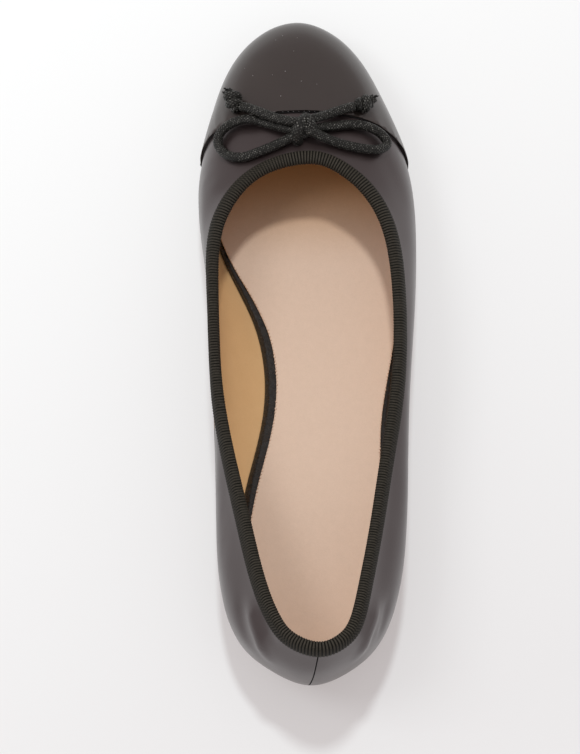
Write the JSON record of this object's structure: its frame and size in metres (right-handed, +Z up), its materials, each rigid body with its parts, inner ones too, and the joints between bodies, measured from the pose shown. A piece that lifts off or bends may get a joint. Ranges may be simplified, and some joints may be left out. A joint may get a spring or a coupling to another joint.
{
  "type": "ballet flat",
  "caption": "Low flat slip-on shoe with a round toe, a stitched toe cap, a bound collar, a corded bow at the throat and a low stacked heel.",
  "frame": {"origin": "centre of the shoe's length and width, on the ground it stands on", "axes": "+Y towards the toe, +Z up, +X towards the shoe's outer side"},
  "size_m": [0.0821, 0.2573, 0.0647],
  "materials": {
    "upper": "satin",
    "toe_cap": "semi-gloss",
    "tape": "matte",
    "footbed": "gloss",
    "sock": "matte",
    "sole": "matte",
    "cord": "waxed"
  },
  "bodies": {
    "root": {"upper": "upper", "toe_cap": "toe_cap", "collar_tape": "tape", "footbed": "footbed", "sock": "sock", "outsole": "sole", "heel": "sole", "bow_loop_arch_side": "cord", "bow_loop_outer_side": "cord", "bow_end_arch_side": "cord", "bow_end_outer_side": "cord", "bow_knot": "cord", "end_knot_arch_side": "cord", "end_knot_outer_side": "cord"}
  },
  "joints": []
}
